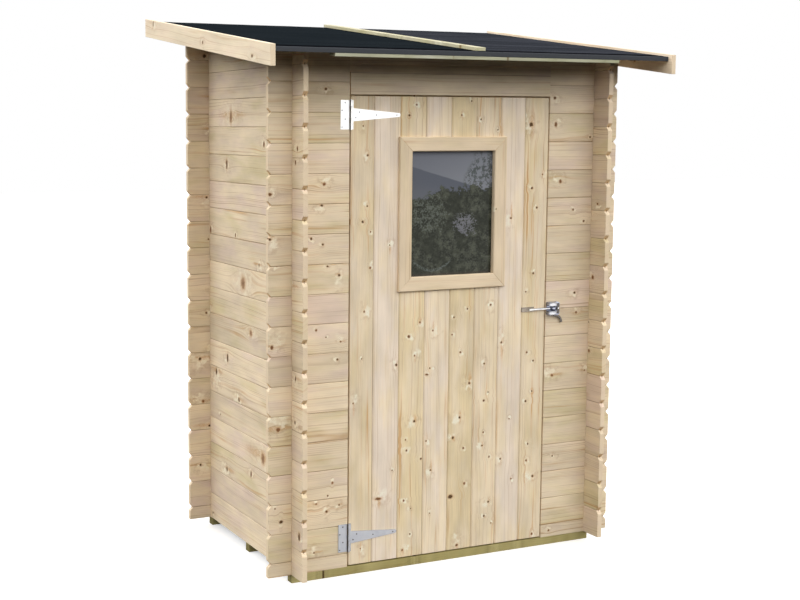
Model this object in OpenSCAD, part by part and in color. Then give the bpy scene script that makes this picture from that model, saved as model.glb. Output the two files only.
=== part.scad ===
// Garden shed of interlocking boards with a single-slope felt roof and one boarded door.
// Millimetres. The origin is on the ground under the middle of the walls;
// +X runs to the right along the front, the front faces -Y, +Z is up.

/* [Walls] */
// Width over the outer faces of the two side walls
wall_w = 1400; // [1300:10:2400]
// Depth over the outer faces of the front and rear walls
wall_d = 872; // [700:1:1800]
// Thickness of the wall boards
board_t = 21; // [16:1:28]
// Height that one wall board covers
course = 115; // [90:1:140]
// Height of the ripped starter board under the front and rear walls
starter_h = 54; // [40:1:70]
// How far the board ends run past the crossing walls
log_end = 98; // [60:1:140]
// Depth of the V cut where two board ends meet
end_notch_d = 13; // [6:1:20]
// Height of the V cut where two board ends meet
end_notch_h = 30; // [12:1:36]
// Width of the V joint between two board faces
joint_w = 4; // [2:0.5:8]
// Depth of the V joint between two board faces
joint_d = 2; // [1:0.5:4]

/* [Base] */
// Height of a bearer
bearer_h = 33; // [25:1:60]
// Width of a bearer
bearer_w = 37; // [30:1:70]
// Thickness of the floor boards
floor_t = 16; // [12:1:25]
// Width that one floor board covers
floor_board_w = 96; // [80:1:140]

/* [Roof] */
// Slope of the roof, in degrees
roof_pitch = 7.7; // [4:0.1:15]
// How far the roof runs past the front and rear walls
eaves = 240; // [150:5:320]
// Distance from a side wall to the outer face of its bargeboard
verge = 195; // [150:5:260]
// Thickness of the deck boards
deck_t = 16; // [12:1:25]
// Width that one deck board covers
deck_board_w = 96; // [80:1:140]
// Thickness of the roofing felt
felt_t = 3; // [1.5:0.5:5]
// How far the felt stops short of the bargeboards' ends
felt_setback = 22; // [5:1:40]
// Thickness of a bargeboard
barge_t = 20; // [15:1:28]
// Height of a bargeboard, measured plumb
barge_h = 77; // [60:1:120]
// How far a bargeboard stands above the felt
barge_lip = 9; // [4:1:20]
// Width of the cover batten on the middle of the roof
cover_w = 44; // [30:1:70]
// Thickness of the cover batten
cover_t = 13; // [8:1:25]
// Distance from the felt's front edge to the end of the cover batten
cover_setback = 28; // [0:1:60]
// Length of the battens under the front and rear roof edges
eaves_batten_l = 1262; // [800:1:1300]
// Depth of the battens under the roof edges, front to back
eaves_batten_w = 46; // [30:1:70]
// Thickness of the battens under the roof edges
eaves_batten_t = 12; // [8:1:25]

/* [Door] */
// Left edge of the doorway, from the left wall's outer face
doorway_x = 242; // [120:1:300]
// Width of the doorway
doorway_w = 918; // [850:1:1000]
// Height of the doorway above the bearers
doorway_h = 1848; // [1500:1:2100]
// Height of the boards over the doorway, up to the roof deck at the front
header_h = 170; // [125:1:400]
// Gap between the boards over the doorway and the wall at the hinge side
header_gap = 4; // [0.5:0.5:6]
// Gap between the door leaf and the doorway
door_gap = 6; // [5:1:10]
// Thickness of the door boards
door_t = 16; // [14:1:16]
// Width of the first door board, at the hinge side
door_first_w = 102; // [60:1:115]
// Width that one of the other door boards covers
door_board_w = 115.5; // [90:0.5:140]
// Width of the V joint between two door boards
door_joint_w = 12; // [4:1:16]
// Depth of the V joint between two door boards
door_joint_d = 4; // [2:0.5:5]
// Width of the ledges and the brace behind the door
ledge_w = 90; // [60:1:120]
// Thickness of the ledges and the brace
ledge_t = 18; // [12:1:25]
// Distance from the door leaf's sides to the ends of the ledges
ledge_inset = 40; // [25:1:80]
// Width of the jamb posts behind the wall boards
jamb_w = 50; // [35:1:80]
// Depth of the jamb posts, front to back
jamb_d = 36; // [25:1:60]
// How far the jambs and the head rail reach into the doorway as a stop
stop_lap = 12; // [6:1:20]

/* [Window] */
// Distance from the door leaf's left edge to the window trim
window_x = 208; // [150:1:260]
// Distance from the top of the doorway down to the window trim
window_drop = 161; // [140:1:300]
// Width over the window trim
window_w = 493; // [350:1:520]
// Height over the window trim
window_h = 606; // [400:1:640]
// Width of the window trim
trim_w = 57; // [40:1:80]
// Thickness of the window trim
trim_t = 12; // [8:1:18]
// Chamfer along the trim's edges
trim_chamfer = 3; // [1:0.5:5]
// Width of the glazing frame inside the trim
sash_w = 10; // [8:1:16]
// Thickness of the glass
glass_t = 4; // [3:0.5:6]
// Distance from the face of the door boards to the glass
glass_inset = 8; // [5:0.5:9]
// Depth of the groove that holds the glass
glass_groove = 5; // [3:0.5:6]

/* [Hinges and latch] */
// Thickness of the hinge and latch plates
plate_t = 3; // [2:0.5:5]
// Height of a hinge's wall leaf
leaf_h = 111; // [80:1:140]
// Width of a hinge's wall leaf
leaf_w = 38; // [25:1:60]
// Length of a hinge strap from the pin
strap_l = 216; // [150:1:300]
// Height of a strap at its root
strap_root_h = 50; // [35:1:60]
// Width of the upright flange that a strap grows from
flange_w = 5; // [3:0.5:10]
// Height of a strap at its tip
strap_tip_h = 15; // [10:1:20]
// Outside radius of the hinge knuckles
knuckle_r = 5.5; // [4:0.5:8]
// Radius of the hinge pins
pin_r = 3; // [2:0.5:4]
// Height of the lower hinge's middle above the bearers
hinge_low_z = 119; // [100:1:300]
// Distance from the top of the doorway down to the upper hinge's middle
hinge_drop = 77; // [70:1:85]
// Distance from the window trim down to the middle of the latch bar
latch_drop = 103; // [60:1:300]
// Radius of the latch bar
bar_r = 4.5; // [3:0.5:8]
// Length of the latch bar's plate on the door
bar_plate_l = 60; // [40:1:90]
// Height of the latch bar's plate
bar_plate_h = 19; // [14:1:30]
// Distance from the door's edge to the latch bar's plate
bar_plate_inset = 54; // [10:1:80]
// How far the latch bar stands off its plate
bar_stand = 3; // [1:0.5:8]
// How far the latch bar reaches past the door's edge
bar_reach = 19; // [14:1:30]
// Clearance between the latch bar and the jaws
bar_gap = 5; // [5:0.5:8]
// Height over the two jaws of the catch
catch_h = 54; // [45:1:80]
// Width of the catch
catch_w = 55; // [40:1:80]
// How far the jaws stand out from the wall
catch_d = 22; // [16:1:40]
// Outer radius of the bent finger lever
lever_r = 34; // [20:1:45]
// Width of the finger lever
lever_w = 8; // [5:1:12]
// Thickness of the finger lever
lever_t = 6; // [3:1:8]

/* [Hidden] */
$fn = 48;

pine = [0.82, 0.71, 0.54];
treated = [0.66, 0.68, 0.50];
felt_grey = [0.22, 0.23, 0.25];
zinc = [0.78, 0.80, 0.82];
glass_blue = [0.45, 0.55, 0.60, 0.45];

over = 1;             // how far a cutting solid runs past what it cuts
seat = 0.3;           // clearance between parts that slide together, or meet on a slope
pin_end = 2;          // how far a hinge pin stands out of its knuckles
knuckle_gap = 1;      // clearance between a knuckle and the other leaf's plate
bar_root = 4;         // how far the block under the latch bar runs past its plate
catch_plate_inset = 4;   // how far the catch's plate stops short of the jaws
catch_back_w = 12;    // width of the upright that joins the jaws
catch_back_inset = 6; // how far that upright stops short of the jaws
slope = tan(roof_pitch);
base_z = bearer_h;
front_h = doorway_h + header_h;
deck_z0 = base_z + front_h;   // underside of the deck over the front wall's outer face
low_cut = starter_h / 2;              // a side board's lower notch at a crossing
high_cut = (course - starter_h) / 2;  // a side board's upper notch at a crossing
inner_x0 = board_t;
inner_x1 = wall_w - board_t;
inner_y0 = board_t;
inner_y1 = wall_d - board_t;
doorway_x1 = doorway_x + doorway_w;
doorway_z1 = base_z + doorway_h;
leaf_x0 = doorway_x + door_gap;
leaf_x1 = doorway_x1 - door_gap;
leaf_z0 = base_z + door_gap;
leaf_z1 = doorway_z1 - door_gap;
ledge_y1 = door_t + ledge_t;
win_x0 = leaf_x0 + window_x;
win_x1 = win_x0 + window_w;
win_z1 = doorway_z1 - window_drop;
win_z0 = win_z1 - window_h;
light_x0 = win_x0 + trim_w;
light_x1 = win_x1 - trim_w;
light_z0 = win_z0 + trim_w;
light_z1 = win_z1 - trim_w;
pin_x = doorway_x + door_gap / 2;
pin_y = -knuckle_r;
knuckle_l = leaf_h / 5;
hinge_low = base_z + hinge_low_z;
hinge_high = doorway_z1 - hinge_drop;
latch_z = win_z0 - latch_drop;
bar_y = -plate_t - bar_r - bar_stand;
catch_x0 = doorway_x1;
catch_x1 = catch_x0 + catch_w;
catch_z0 = latch_z - catch_h / 2;

function deck_z(y) = deck_z0 + slope * y;
function course_joints(first, top) =
    [for (z = [base_z + first : course : top]) if (z + end_notch_h / 2 < top) z];
function backwards(list) = [for (i = [len(list) - 1 : -1 : 0]) list[i]];

// Moves a part from the front left corner of the walls to the origin
module placed() translate([-wall_w / 2, -wall_d / 2, 0]) children();

// A flat drawing in Y and Z, carried from x0 to x1
module along_x(x0, x1) translate([x0, 0, 0]) rotate([90, 0, 90]) linear_extrude(x1 - x0) children();

// A flat drawing in X and Z, carried from y0 to y1
module along_y(y0, y1) translate([0, y1, 0]) rotate([90, 0, 0]) linear_extrude(y1 - y0) children();

// A flat drawing in X and Y, carried from z0 to z1
module along_z(z0, z1) translate([0, 0, z0]) linear_extrude(z1 - z0) children();

module box(x0, x1, y0, y1, z0, z1) translate([x0, y0, z0]) cube([x1 - x0, y1 - y0, z1 - z0]);

// A slab that follows the roof, from low to high above the deck's underside, with plumb ends
module roof_slab(x0, x1, y0, y1, low, high)
    along_x(x0, x1) polygon([
        [y0, deck_z(y0) + low], [y1, deck_z(y1) + low],
        [y1, deck_z(y1) + high], [y0, deck_z(y0) + high]]);

// Everything below the deck
module under_roof() {
    y0 = -log_end - over;
    y1 = wall_d + log_end + over;
    along_x(-log_end - over, wall_w + log_end + over) polygon([
        [y0, base_z - over], [y1, base_z - over], [y1, deck_z(y1) - seat], [y0, deck_z(y0) - seat]]);
}

// The cross-section of a stack of boards: thickness across, height up
module board_section(z0, joints, top)
    polygon(concat(
        [[0, z0]],
        [for (z = joints) each [[0, z - joint_w / 2], [joint_d, z], [0, z + joint_w / 2]]],
        [[0, top], [board_t, top]],
        [for (z = backwards(joints))
            each [[board_t, z + joint_w / 2], [board_t - joint_d, z], [board_t, z - joint_w / 2]]],
        [[board_t, z0]]));

// The face of a stack of boards from a to b; a log end has a V cut at each joint
module board_face(a, b, top_a, top_b, joints, cut_a, cut_b)
    polygon(concat(
        [[a, base_z]],
        [for (z = joints) if (cut_a && z + end_notch_h / 2 < top_a)
            each [[a, z - end_notch_h / 2], [a + end_notch_d, z], [a, z + end_notch_h / 2]]],
        [[a, top_a], [b, top_b]],
        [for (z = backwards(joints)) if (cut_b && z + end_notch_h / 2 < top_b)
            each [[b, z + end_notch_h / 2], [b - end_notch_d, z], [b, z - end_notch_h / 2]]],
        [[b, base_z]]));

// What a side wall gives up where a front or rear wall's necks pass through it
module cross_necks(y0, top) {
    box(-over, board_t + over, y0, y0 + board_t, base_z - over, base_z + low_cut);
    for (z = [base_z + course : course : top])
        box(-over, board_t + over, y0, y0 + board_t, z - high_cut, z + low_cut);
}

// What a front or rear wall gives up where a side wall's necks pass through it
module side_necks(x0, y0, top)
    for (z = [base_z : course : top])
        box(x0, x0 + board_t, y0 - over, y0 + board_t + over, z + low_cut, z + course - high_cut);

// A side wall with its outer face at x = 0
module side_wall() {
    low_top = deck_z(-log_end) - seat;
    top = deck_z(wall_d + log_end) - seat;
    joints = course_joints(course, top);
    difference() {
        intersection() {
            along_y(-log_end, wall_d + log_end) board_section(base_z, joints, top);
            along_x(0, board_t) board_face(
                -log_end, wall_d + log_end, low_top, top, joints, true, true);
        }
        cross_necks(0, top);
        cross_necks(wall_d - board_t, top);
    }
}

// A run of front or rear boards from x0 to x1, with its outer face at y0
module cross_wall(x0, x1, y0, cut_left, cut_right) {
    top = deck_z(y0 + board_t);
    joints = course_joints(starter_h, top);
    difference() {
        intersection() {
            translate([0, y0, 0]) along_x(x0, x1) board_section(base_z, joints, top);
            along_y(y0, y0 + board_t) board_face(x0, x1, top, top, joints, cut_left, cut_right);
            under_roof();
        }
        side_necks(0, y0, top);
        side_necks(inner_x1, y0, top);
    }
}

module bearer(y0) color(treated) placed() box(0, wall_w, y0, y0 + bearer_w, 0, bearer_h);
module bearer_front() bearer(0);
module bearer_middle() bearer((wall_d - bearer_w) / 2);
module bearer_rear() bearer(wall_d - bearer_w);

// Boards laid front to back over the bearers
module floor_boards() color(pine) placed() {
    z1 = base_z + floor_t;
    difference() {
        box(inner_x0, inner_x1, inner_y0, inner_y1, base_z, z1);
        for (x = [inner_x0 + floor_board_w : floor_board_w : inner_x1 - joint_w])
            along_y(inner_y0 - over, inner_y1 + over) polygon([
                [x - joint_w / 2, z1], [x, z1 - joint_d], [x + joint_w / 2, z1],
                [x + joint_w / 2, z1 + over], [x - joint_w / 2, z1 + over]]);
    }
}

module side_wall_left() color(pine) placed() side_wall();
module side_wall_right() color(pine) placed() translate([inner_x1, 0, 0]) side_wall();
module rear_wall() color(pine) placed()
    cross_wall(-log_end, wall_w + log_end, wall_d - board_t, true, true);
module front_wall_left() color(pine) placed() cross_wall(-log_end, doorway_x, 0, true, false);
module front_wall_right() color(pine) placed() cross_wall(doorway_x1, wall_w + log_end, 0, false, true);

// The boards over the doorway; they start at the door's top and not on a wall joint
module door_header() color(pine) placed() {
    joints = [for (z = [doorway_z1 + course : course : deck_z0 - joint_w]) z];
    intersection() {
        along_x(doorway_x + header_gap, doorway_x1 - seat)
            board_section(doorway_z1, joints, deck_z(board_t));
        under_roof();
    }
}

// A post behind the wall boards, cut to the roof
module jamb(x0) color(pine) placed()
    along_x(x0, x0 + jamb_w) polygon([
        [inner_y0, base_z + floor_t], [inner_y0 + jamb_d, base_z + floor_t],
        [inner_y0 + jamb_d, deck_z(inner_y0 + jamb_d) - seat], [inner_y0, deck_z(inner_y0) - seat]]);
module jamb_left() jamb(doorway_x + stop_lap - jamb_w);
module jamb_right() jamb(doorway_x1 - stop_lap);

// The rail behind the header, between the jambs
module head_rail() color(pine) placed()
    box(doorway_x + stop_lap, doorway_x1 - stop_lap, inner_y0, inner_y0 + jamb_d,
        doorway_z1 - stop_lap, doorway_z1 - stop_lap + jamb_w);

// Half of the deck: boards that run down the slope
module roof_deck(x0, x1) color(pine) placed()
    difference() {
        roof_slab(x0, x1, felt_setback - eaves + felt_t, wall_d + eaves - felt_t, 0, deck_t);
        for (x = [x0 + deck_board_w : deck_board_w : x1 - joint_w])
            translate([0, 0, deck_z0]) rotate([roof_pitch, 0, 0])
                along_y(-2 * eaves, 2 * wall_d + eaves) polygon([
                    [x - joint_w / 2, 0], [x, joint_d], [x + joint_w / 2, 0],
                    [x + joint_w / 2, -over], [x - joint_w / 2, -over]]);
    }
module roof_deck_left() roof_deck(barge_t - verge, wall_w / 2 - seat);
module roof_deck_right() roof_deck(wall_w / 2 + seat, wall_w + verge - barge_t);

// Felt on half of the deck, folded down over its front and rear edges
module roof_felt(x0, x1) color(felt_grey) placed() {
    y0 = felt_setback - eaves;
    y1 = wall_d + eaves;
    roof_slab(x0, x1, y0, y1, deck_t, deck_t + felt_t);
    roof_slab(x0, x1, y0, y0 + felt_t, 0, deck_t);
    roof_slab(x0, x1, y1 - felt_t, y1, 0, deck_t);
}
module roof_felt_left() roof_felt(barge_t - verge, wall_w / 2 - seat);
module roof_felt_right() roof_felt(wall_w / 2 + seat, wall_w + verge - barge_t);

module bargeboard(x0) color(pine) placed() {
    top = deck_t + felt_t + barge_lip;
    roof_slab(x0, x0 + barge_t, -eaves, wall_d + eaves, top - barge_h, top);
}
module bargeboard_left() bargeboard(-verge);
module bargeboard_right() bargeboard(wall_w + verge - barge_t);

// The batten over the joint between the two roof halves
module cover_batten() color(treated) placed() {
    low = deck_t + felt_t + seat;
    roof_slab((wall_w - cover_w) / 2, (wall_w + cover_w) / 2,
        felt_setback - eaves + cover_setback, wall_d + eaves, low, low + cover_t);
}

module eaves_batten(y0) color(treated) placed()
    roof_slab((wall_w - eaves_batten_l) / 2, (wall_w + eaves_batten_l) / 2, y0, y0 + eaves_batten_w,
        -eaves_batten_t - seat, -seat);
module eaves_batten_front() eaves_batten(felt_setback - eaves);
module eaves_batten_rear() eaves_batten(wall_d + eaves - eaves_batten_w);

// The leaf: upright boards with V joints, cut out for the window
module door_boards() color(pine) placed() {
    joints = [for (x = [leaf_x0 + door_first_w : door_board_w : leaf_x1 - door_joint_w]) x];
    difference() {
        along_z(leaf_z0, leaf_z1) polygon(concat(
            [[leaf_x0, 0]],
            [for (x = joints) each [[x - door_joint_w / 2, 0], [x, door_joint_d], [x + door_joint_w / 2, 0]]],
            [[leaf_x1, 0], [leaf_x1, door_t]],
            [for (x = backwards(joints))
                each [[x + joint_w / 2, door_t], [x, door_t - joint_d], [x - joint_w / 2, door_t]]],
            [[leaf_x0, door_t]]));
        box(light_x0 - sash_w, light_x1 + sash_w, -over, door_t + over,
            light_z0 - sash_w, light_z1 + sash_w);
    }
}

module door_ledge(z) color(pine) placed()
    box(leaf_x0 + ledge_inset, leaf_x1 - ledge_inset, door_t, ledge_y1, z - ledge_w / 2, z + ledge_w / 2);
module door_ledge_top() door_ledge(hinge_high);
module door_ledge_middle() door_ledge(latch_z);
module door_ledge_bottom() door_ledge(hinge_low);

// The brace rises from the hinge side to the latch side, between two ledges
module door_brace() color(pine) placed() {
    z0 = hinge_low + ledge_w / 2;
    z1 = latch_z - ledge_w / 2;
    x0 = leaf_x0 + ledge_inset;
    x1 = leaf_x1 - ledge_inset;
    along_y(door_t, ledge_y1) polygon([
        [x0, z0], [x0 + ledge_w, z0], [x1, z1 - ledge_w / 2],
        [x1, z1], [x1 - ledge_w, z1], [x0, z0 + ledge_w / 2]]);
}

// One side of a mitred frame, w by h over its outside, lying on y = 0 and rising towards +y
module trim_side(w)
    intersection() {
        along_x(0, w) polygon([
            [0, 0], [0, trim_w], [trim_t - trim_chamfer, trim_w], [trim_t, trim_w - trim_chamfer],
            [trim_t, trim_chamfer], [trim_t - trim_chamfer, 0]]);
        along_y(-over, trim_t + over) polygon([
            [seat, 0], [w - seat, 0], [w - trim_w - seat, trim_w], [trim_w + seat, trim_w]]);
    }

// Four mitred strips round the window opening, lying on y = 0 and rising towards +y
module window_trim() {
    trim_side(window_w);
    translate([window_w, 0, window_h]) rotate([0, 180, 0]) trim_side(window_w);
    translate([0, 0, window_h]) rotate([0, 90, 0]) trim_side(window_h);
    translate([window_w, 0, 0]) rotate([0, -90, 0]) trim_side(window_h);
}
module window_trim_outside() color(pine) placed()
    translate([win_x0, 0, win_z0]) mirror([0, 1, 0]) window_trim();
module window_trim_inside() color(pine) placed()
    translate([win_x0, door_t, win_z0]) window_trim();

// The glazing frame that lines the hole in the leaf
module window_sash() color(pine) placed()
    difference() {
        box(light_x0 - sash_w, light_x1 + sash_w, 0, door_t, light_z0 - sash_w, light_z1 + sash_w);
        box(light_x0, light_x1, -over, door_t + over, light_z0, light_z1);
        box(light_x0 - glass_groove, light_x1 + glass_groove,
            glass_inset - seat, glass_inset + glass_t + seat,
            light_z0 - glass_groove, light_z1 + glass_groove);
    }
module window_glass() color(glass_blue) placed() {
    hold = glass_groove - seat;
    box(light_x0 - hold, light_x1 + hold, glass_inset, glass_inset + glass_t,
        light_z0 - hold, light_z1 + hold);
}

// One hinge knuckle round the pin, the n-th of five counted from below
module knuckle(n, middle_z)
    translate([pin_x, pin_y, middle_z - leaf_h / 2 + n * knuckle_l + seat])
        cylinder(r = knuckle_r, h = knuckle_l - 2 * seat);

// The tab from a knuckle to its plate, towards x1
module knuckle_tab(n, middle_z, x1)
    box(min(pin_x, x1), max(pin_x, x1), -plate_t, 0,
        middle_z - leaf_h / 2 + n * knuckle_l + seat, middle_z - leaf_h / 2 + (n + 1) * knuckle_l - seat);

// The leaf on the wall with three knuckles and the pin
module hinge_leaf(middle_z) color(zinc) placed() {
    plate_x1 = pin_x - knuckle_r - knuckle_gap;
    box(pin_x - knuckle_r - leaf_w, plate_x1, -plate_t, 0, middle_z - leaf_h / 2, middle_z + leaf_h / 2);
    for (n = [0, 2, 4]) {
        knuckle(n, middle_z);
        knuckle_tab(n, middle_z, plate_x1 - over);
    }
    translate([pin_x, pin_y, middle_z - leaf_h / 2 - pin_end])
        cylinder(r = pin_r, h = leaf_h + 2 * pin_end);
}
module hinge_leaf_top() hinge_leaf(hinge_high);
module hinge_leaf_bottom() hinge_leaf(hinge_low);

// The strap on the door with two knuckles, tapered to a round tip
module hinge_strap(middle_z) color(zinc) placed()
    difference() {
        union() {
            flange_x0 = pin_x + knuckle_r + knuckle_gap;
            flange_x1 = flange_x0 + flange_w;
            tip_x = pin_x + strap_l - strap_tip_h / 2;
            box(flange_x0, flange_x1, -plate_t, 0, middle_z - leaf_h / 2, middle_z + leaf_h / 2);
            along_y(-plate_t, 0) polygon([
                [flange_x1 - over, middle_z - strap_root_h / 2], [tip_x, middle_z - strap_tip_h / 2],
                [tip_x, middle_z + strap_tip_h / 2], [flange_x1 - over, middle_z + strap_root_h / 2]]);
            translate([tip_x, 0, middle_z]) rotate([90, 0, 0]) cylinder(r = strap_tip_h / 2, h = plate_t);
            for (n = [1, 3]) {
                knuckle(n, middle_z);
                knuckle_tab(n, middle_z, flange_x0 + over);
            }
        }
        translate([pin_x, pin_y, middle_z - leaf_h]) cylinder(r = pin_r + seat, h = 2 * leaf_h);
    }
module hinge_strap_top() hinge_strap(hinge_high);
module hinge_strap_bottom() hinge_strap(hinge_low);

// The plate on the door and the round bar that reaches over the gap
module latch_bar() color(zinc) placed() {
    plate_x1 = leaf_x1 - bar_plate_inset;
    bar_x0 = plate_x1 - bar_plate_l / 2;
    box(plate_x1 - bar_plate_l, plate_x1, -plate_t, 0, latch_z - bar_plate_h / 2, latch_z + bar_plate_h / 2);
    box(bar_x0, plate_x1 + bar_root, bar_y, -plate_t, latch_z - bar_r, latch_z + bar_r);
    translate([bar_x0, bar_y, latch_z]) rotate([0, 90, 0])
        cylinder(r = bar_r, h = leaf_x1 + bar_reach - bar_x0);
}

// The catch on the wall: a plate with two rounded jaws, open towards the door and the front
module latch_catch() color(zinc) placed() {
    jaw_h = catch_h / 2 - bar_r - bar_gap;
    jaw_x0 = catch_x0 + jaw_h / 2;
    jaw_x1 = catch_x1 - jaw_h / 2;
    back_x1 = catch_x1 - catch_back_inset;
    box(catch_x0 + catch_plate_inset, catch_x1, -plate_t, 0, catch_z0, catch_z0 + catch_h);
    for (side = [-1, 1])
        translate([0, 0, latch_z + side * (catch_h - jaw_h) / 2]) along_y(-catch_d, -plate_t) {
            translate([jaw_x0, 0]) circle(r = jaw_h / 2);
            translate([jaw_x0, -jaw_h / 2]) square([jaw_x1 - jaw_x0, jaw_h]);
            translate([jaw_x1, 0]) circle(r = jaw_h / 2);
        }
    box(back_x1 - catch_back_w, back_x1, catch_plate_inset - catch_d, -plate_t,
        catch_z0 + catch_plate_inset, catch_z0 + catch_h - catch_plate_inset);
}

// The bent finger lever that hangs from the lower jaw
module latch_lever() color(zinc) placed()
    along_y(-lever_t - plate_t - over, -plate_t - over) {
        x = catch_x1 - catch_w / 5;
        translate([x - lever_w, catch_z0 - lever_w]) square([lever_w, lever_w]);
        translate([x, catch_z0 - lever_r]) intersection() {
            difference() {
                circle(r = lever_r);
                circle(r = lever_r - lever_w);
            }
            square(lever_r);
        }
    }

bearer_front();
bearer_middle();
bearer_rear();
floor_boards();
side_wall_left();
side_wall_right();
rear_wall();
front_wall_left();
front_wall_right();
door_header();
jamb_left();
jamb_right();
head_rail();
roof_deck_left();
roof_deck_right();
roof_felt_left();
roof_felt_right();
bargeboard_left();
bargeboard_right();
cover_batten();
eaves_batten_front();
eaves_batten_rear();
door_boards();
door_ledge_top();
door_ledge_middle();
door_ledge_bottom();
door_brace();
window_trim_outside();
window_trim_inside();
window_sash();
window_glass();
hinge_leaf_top();
hinge_leaf_bottom();
hinge_strap_top();
hinge_strap_bottom();
latch_bar();
latch_catch();
latch_lever();
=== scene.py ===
"""A small garden shed of interlocking pine boards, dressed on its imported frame.

Metres throughout; +X runs to the right along the front, the front faces -Y, +Z is up.
"""
import math

import bmesh
import bpy
import numpy as np
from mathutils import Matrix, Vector


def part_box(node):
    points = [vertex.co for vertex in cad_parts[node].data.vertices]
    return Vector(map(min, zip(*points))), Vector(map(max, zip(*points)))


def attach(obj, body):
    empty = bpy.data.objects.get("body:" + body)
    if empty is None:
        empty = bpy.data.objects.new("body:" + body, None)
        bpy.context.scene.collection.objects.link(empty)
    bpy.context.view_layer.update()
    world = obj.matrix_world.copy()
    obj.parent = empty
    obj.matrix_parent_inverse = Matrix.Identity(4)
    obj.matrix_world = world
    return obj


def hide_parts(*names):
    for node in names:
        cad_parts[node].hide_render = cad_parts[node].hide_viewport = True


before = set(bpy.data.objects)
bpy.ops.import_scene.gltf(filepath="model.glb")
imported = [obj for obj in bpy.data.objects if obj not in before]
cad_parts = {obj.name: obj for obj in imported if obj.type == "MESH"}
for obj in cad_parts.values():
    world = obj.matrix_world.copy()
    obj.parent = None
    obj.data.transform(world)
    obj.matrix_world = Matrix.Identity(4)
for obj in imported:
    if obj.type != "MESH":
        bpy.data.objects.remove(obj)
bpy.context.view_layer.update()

PITCH = math.radians(7.7)
COURSE = 0.115          # height that one wall board covers
BASE_TOP = 0.033        # underside of the wall boards
STARTER = 0.054         # ripped first board of the front and rear walls
PLANK = 0.096           # width of a floor or roof board
DOOR_BOARD = 0.1155     # width of a door board; the first is narrower
FIRST_DOOR_BOARD = 0.102
HEAD_BOARD = 0.082      # height of the lower of the two boards over the door
ARRIS = 0.0013          # softened edge of planed boards
WALL_ARRIS = 0.0024     # softened edge of the wall boards
GROOVE, GROOVE_DEPTH = 0.0009, 0.0008       # half width and depth of the V between two boards
DECK_T, FELT_T = 0.016, 0.003
LEAST_STRIP = 0.004     # a joint nearer than this to a wall's edge is left out
LEAST_BOARD = 0.03      # a narrower board gets no chance knots
KNOT_REACH = 0.4        # how far an outermost knot of a board has a say
SCREW = 0.0032          # radius of a hinge screw's head
TOUCH = 0.00002         # points closer than this are one
DOME_LIGHT = 2.96       # strength of the soft light from above
CAMERA_AT, CAMERA_YAW, CAMERA_DIP = (-2.7966, -4.9532, 1.7546), math.radians(24.21), math.radians(6.24)

X, Y, Z = (1, 0, 0), (0, 1, 0), (0, 0, 1)
SLOPE = (0, math.cos(PITCH), math.sin(PITCH))
ROOF_UP = (0, -math.sin(PITCH), math.cos(PITCH))


# ---------------------------------------------------------------- shader building

def linear(r, g, b):
    """A colour given as 0-255 display values, as linear light."""
    c = np.array([r, g, b]) / 255
    c = np.where(c <= 0.04045, c / 12.92, ((c + 0.055) / 1.055) ** 2.4)
    return (*c.tolist(), 1.0)


class Graph:
    """Adds nodes to one tree; a method gives back an output socket, or a tuple of them."""

    def __init__(self, tree):
        self.tree = tree

    def fill(self, made, inputs):
        """Links or sets a node's inputs."""
        for key, value in inputs.items():
            if isinstance(value, bpy.types.NodeSocket):
                self.tree.links.new(value, made.inputs[key])
            else:
                made.inputs[key].default_value = value

    def put(self, kind, inputs=None, out=0, **settings):
        made = self.tree.nodes.new("ShaderNode" + kind)
        for key, value in settings.items():
            setattr(made, key, value)
        self.fill(made, inputs or {})
        return made.outputs[out]

    def group(self, tree, inputs):
        made = self.tree.nodes.new("ShaderNodeGroup")
        made.node_tree = tree
        self.fill(made, inputs)
        return made.outputs

    def math(self, operation, a, b=0.0):
        return self.put("Math", {0: a, 1: b}, operation=operation)

    def add(self, total, *values):
        for value in values:
            total = self.math("ADD", total, value)
        return total

    def mul(self, product, *values):
        for value in values:
            product = self.math("MULTIPLY", product, value)
        return product

    def sub(self, a, b):
        return self.math("SUBTRACT", a, b)

    def div(self, a, b):
        return self.math("DIVIDE", a, b)

    def length(self, a, b):
        """Length of the slant whose two legs are a and b."""
        return self.math("SQRT", self.add(self.mul(a, a), self.mul(b, b)))

    def sway(self, value, most):
        """How far a value is from one half, times most."""
        return self.mul(self.sub(value, 0.5), most)

    def span(self, value, low, high, to_low=0.0, to_high=1.0):
        """A smooth step of value from low to high."""
        return self.put("MapRange", {0: value, 1: low, 2: high, 3: to_low, 4: to_high},
                        interpolation_type="SMOOTHSTEP")

    def below(self, value, low, high, most=1.0):
        """most where value is under low, falling to 0 at high."""
        return self.span(value, low, high, most, 0.0)

    def mix(self, factor, a, b, how="MIX"):
        return self.put("Mix", {0: factor, 6: a, 7: b}, 2, data_type="RGBA", blend_type=how)

    def vec(self, x, y, z=0.0):
        return self.put("CombineXYZ", {0: x, 1: y, 2: z})

    def split(self, vector):
        """The three parts of a vector."""
        return tuple(self.put("SeparateXYZ", {0: vector}).node.outputs)

    def noise(self, vector, scale=1.0, detail=2.0, rough=0.5):
        return self.put("TexNoise", {"Vector": vector, "Scale": scale, "Detail": detail,
                                     "Roughness": rough})

    def noises(self, vector, detail):
        """Three separate noises."""
        return self.split(self.put("TexNoise", {"Vector": vector, "Scale": 1.0, "Detail": detail}, 1))

    def dice(self, vector):
        """Three chance values that stay the same wherever the vector does."""
        return self.split(self.put("TexWhiteNoise", {"Vector": vector}, 1))

    def attribute(self, name):
        return self.put("Attribute", attribute_name=name, out=1)


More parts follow.
